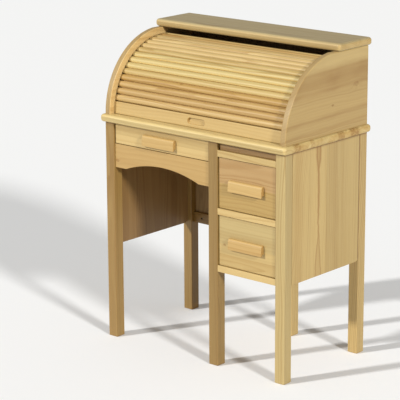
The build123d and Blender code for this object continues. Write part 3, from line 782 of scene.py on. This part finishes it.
def dress_boards():
    dress_pine("desktop", "cream", "XYZ", strip=0.064, ring=0.007, figure=0.8,
               knots=((1.0, 0.8, 0.019, 1.0), (1.0, 0.64, 0.014, 0.9), (1.0, 0.14, 0.013, 0.9),
                      (1.0, 0.31, 0.008, 0.6)))
    dress_pine("top_board", "drab", "XYZ", strip=0.074, ring=0.005, figure=0.9, fibre=0.4, rim="golden")
    dress_pine("writing_shelf", "chestnut", "XYZ", strip=0.06, figure=1.3)
    dress_pine("roll_side_right", "tan", "YZX", ring=0.008, lean=-0.03, figure=0.6,
               knots=((0.56, 0.325, 0.0032, 0.7), (0.85, 0.51, 0.007, 0.5)),
               second=(0.8, "golden", 0.012),
               streaks=((0.66, 0.02, 0.7), (0.53, 0.007, 0.6), (0.76, 0.004, 0.4), (0.2, 0.006, 0.45),
                        (0.06, 0.004, 0.4)),
               rim="grey_rim", turned=True)
    dress_pine("roll_side_left", "peach", "YZX", strip=0.11, ring=0.009, lean=0.05,
               rim="grey_rim", turned=True)
    dress_pine("false_back", "plain", "XZY")


def dress_drawers():
    finishes = {
        "pencil_drawer": ("straw", {"ring": 0.009, "figure": 0.6, "second": (0.45, "golden", 0.001)}),
        "upper_drawer": ("honey", {"ring": 0.007, "figure": 1.2, "second": (0.5, "rosy", 0.0003)}),
        "lower_drawer": ("light_tan", {"ring": 0.008, "figure": 0.8, "second": (0.45, "khaki", 0.0003),
                                       "knots": ((0.1, 0.43, 0.003, 0.7),)}),
    }
    for drawer, (wood, finish) in finishes.items():
        dress_pine(f"{drawer}_front", wood, "XZY", seams=DRAWER_END_SHADOWS, **finish)
        dress_pine(f"{drawer}_sides", "plain", "YZX")
        dress_pine(f"{drawer}_back", "plain", "XZY")
        dress_pine(f"{drawer}_handle", "buff", "XZY", ring=0.006, figure=1.0)
        bottom = f"{drawer}_bottom"
        dress(bottom, plywood(bottom, "XYZ", BIRCH))


def dress_backs():
    for panel in ("kneehole_back_panel", "pedestal_back_panel", "roll_back_panel"):
        dress(panel, plywood(panel, "ZXY", BACK_OUTSIDE, PLY_INSIDE_SHADE))


def outward_of(node):
    """The direction from the roll's axis to the middle of a node."""
    low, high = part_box(node)
    away = (low + high) / 2 - roll_axis
    away.x = 0.0
    return tuple(away.normalized())


def dress_curtain():
    """The lift rail and the slats, with painted light on the sides of each slat, more on some slats than
    on others.
    """
    for number, wood in enumerate(SLAT_WOODS, 1):
        slat = f"slat_{number:02d}"
        knots = ((0.37, 0.5, 0.003, 0.7),) if number == KNOTTY_SLAT else ()
        gain = MORE_PAINTED_SIDE_LIGHT if number in SLATS_WITH_MORE_PAINTED_LIGHT else PAINTED_SIDE_LIGHT
        dress_pine(slat, wood, "XYZ", ring=0.007, figure=0.9, knots=knots, turned=True,
                   pale_sides=(outward_of(slat), gain))
    dress_pine("lift_rail", "straw", "XZY", ring=0.009, figure=0.7, turned=True)


dress_frame()
dress_boards()
dress_drawers()
dress_backs()
dress_curtain()
dress("cross_dowels", steel())


# ---- canvas behind the slats ----
def polar(node):
    """Lowest and highest radius and angle of a node's corners about the roll's axis."""
    radii, angles = [], []
    for vertex in nodes[node].data.vertices:
        forward = roll_axis.y - vertex.co.y
        up = vertex.co.z - roll_axis.z
        radii.append(math.hypot(forward, up))
        angles.append(math.atan2(up, forward))
    return min(radii), max(radii), min(angles), max(angles)


def cloth_face(mesh, radius, angles, widths):
    """One face of a cloth on an arc: a grid of vertices, dipping a little between glue lines."""
    grid = []
    for row, angle in enumerate(angles):
        line = []
        for column, x in enumerate(widths):
            dip = CLOTH_DIP * math.sin(DIP_STEP_ACROSS * column + DIP_STEP_ALONG * row)
            y = roll_axis.y - (radius + dip) * math.cos(angle)
            z = roll_axis.z + (radius + dip) * math.sin(angle)
            line.append(mesh.verts.new((x, y, z)))
        grid.append(line)
    return grid


def steps(start, end, count):
    """Numbers from start to end in a count of equal steps."""
    return [start + (end - start) * step / count for step in range(count + 1)]


def sew(mesh, outer, inner):
    """Fills the two faces of a cloth and closes its rim."""
    rows, columns = len(outer) - 1, len(outer[0]) - 1
    for row in range(rows):
        for column in range(columns):
            corners = [(row, column), (row, column + 1), (row + 1, column + 1), (row + 1, column)]
            mesh.faces.new([outer[r][c] for r, c in corners])
            mesh.faces.new([inner[r][c] for r, c in reversed(corners)])
    rim = [(0, c) for c in range(columns)] + [(r, columns) for r in range(rows)]
    rim += [(rows, c) for c in range(columns, 0, -1)] + [(r, 0) for r in range(rows, 0, -1)]
    for (r0, c0), (r1, c1) in zip(rim, rim[1:] + rim[:1]):
        mesh.faces.new([outer[r1][c1], outer[r0][c0], inner[r0][c0], inner[r1][c1]])
    bmesh.ops.recalc_face_normals(mesh, faces=mesh.faces)


def smooth_piece(name, mesh, material):
    """A new smooth object in the scene from a finished mesh."""
    data = bpy.data.meshes.new(name)
    mesh.to_mesh(data)
    mesh.free()
    for polygon in data.polygons:
        polygon.use_smooth = True
    data.materials.append(material)
    piece = bpy.data.objects.new(name, data)
    bpy.context.scene.collection.objects.link(piece)
    return piece


def cloth_sheet(name, radius, thickness, start, end, x_low, x_high, material):
    """A stretched cloth on an arc about the roll's axis, from one angle to another."""
    rows = max(CLOTH_LEAST_ROWS, round((end - start) / math.radians(CLOTH_ROW_STEP)))
    angles = steps(start, end, rows)
    widths = steps(x_low, x_high, CLOTH_COLUMNS)
    mesh = bmesh.new()
    outer = cloth_face(mesh, radius, angles, widths)
    inner = cloth_face(mesh, radius - thickness, angles, widths)
    sew(mesh, outer, inner)
    return smooth_piece(name, mesh, material)


def make_canvas():
    """One sheet behind the rigid front of the curtain and one strip behind each slat after it."""
    inner, outer, start, end = polar("canvas_front")
    low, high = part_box("canvas_front")
    thickness = (outer - inner) * CLOTH_THICKNESS_SHARE
    material = canvas()
    sheet = cloth_sheet("canvas_sheet", outer, thickness, start, end, low.x, high.x, material)
    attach(sheet, "roll_front")
    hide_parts("canvas_front")
    half = math.radians(SLAT_STEP) / 2 - STRIP_GAP / outer
    for number in TAIL_SLATS:
        _, _, slat_start, slat_end = polar(f"slat_{number:02d}")
        middle = (slat_start + slat_end) / 2
        strip = cloth_sheet(f"canvas_strip_{number:02d}", outer, thickness, middle - half, middle + half,
                            low.x, high.x, material)
        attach(strip, f"tail_{number:02d}")


make_canvas()


# ---- floor, light and camera ----
def make_floor():
    bpy.ops.mesh.primitive_plane_add(size=FLOOR_SIZE, location=(0, 0, -FLOOR_DROP))
    floor = bpy.context.object
    floor.name = "studio_floor"
    material, _, shader = new_material("pale_floor")
    shader.inputs["Base Color"].default_value = FLOOR_COLOUR
    set_gloss(shader, FLOOR_GLOSS)
    floor.data.materials.append(material)


def make_room_light():
    world = bpy.data.worlds.new("studio")
    world.use_nodes = True
    background = world.node_tree.nodes["Background"]
    background.inputs["Color"].default_value = ROOM_COLOUR
    background.inputs["Strength"].default_value = ROOM_BRIGHTNESS
    bpy.context.scene.world = world


def make_sun(name, azimuth, elevation, strength, width):
    """A wide, soft sun. width is the angle it covers in the sky, so the softness of its shadows."""
    a, e = math.radians(azimuth), math.radians(elevation)
    back = Vector((math.sin(a) * math.cos(e), -math.cos(a) * math.cos(e), math.sin(e)))
    lamp = bpy.data.lights.new(name, "SUN")
    lamp.energy = strength
    lamp.angle = math.radians(width)
    holder = bpy.data.objects.new(name, lamp)
    holder.location = back * SUN_DISTANCE
    holder.rotation_mode = "QUATERNION"
    holder.rotation_quaternion = (-back).to_track_quat("-Z", "Y")
    bpy.context.scene.collection.objects.link(holder)


def make_camera():
    data = bpy.data.cameras.new("camera")
    data.lens = CAMERA_LENS
    data.clip_end = CAMERA_REACH
    camera = bpy.data.objects.new("camera", data)
    turn = Matrix.Rotation(math.radians(CAMERA_AZIMUTH), 4, "Z")
    tilt = Matrix.Rotation(math.radians(90 - CAMERA_ELEVATION), 4, "X")
    roll = Matrix.Rotation(math.radians(CAMERA_ROLL), 4, "Z")
    camera.matrix_world = Matrix.Translation(CAMERA_PLACE) @ turn @ tilt @ roll
    bpy.context.scene.collection.objects.link(camera)
    bpy.context.scene.camera = camera


make_floor()
make_room_light()
for sun, look in SUNS.items():
    make_sun(sun, **look)
make_camera()
bpy.context.scene.view_settings.view_transform = "Standard"

bpy.context.view_layer.update()
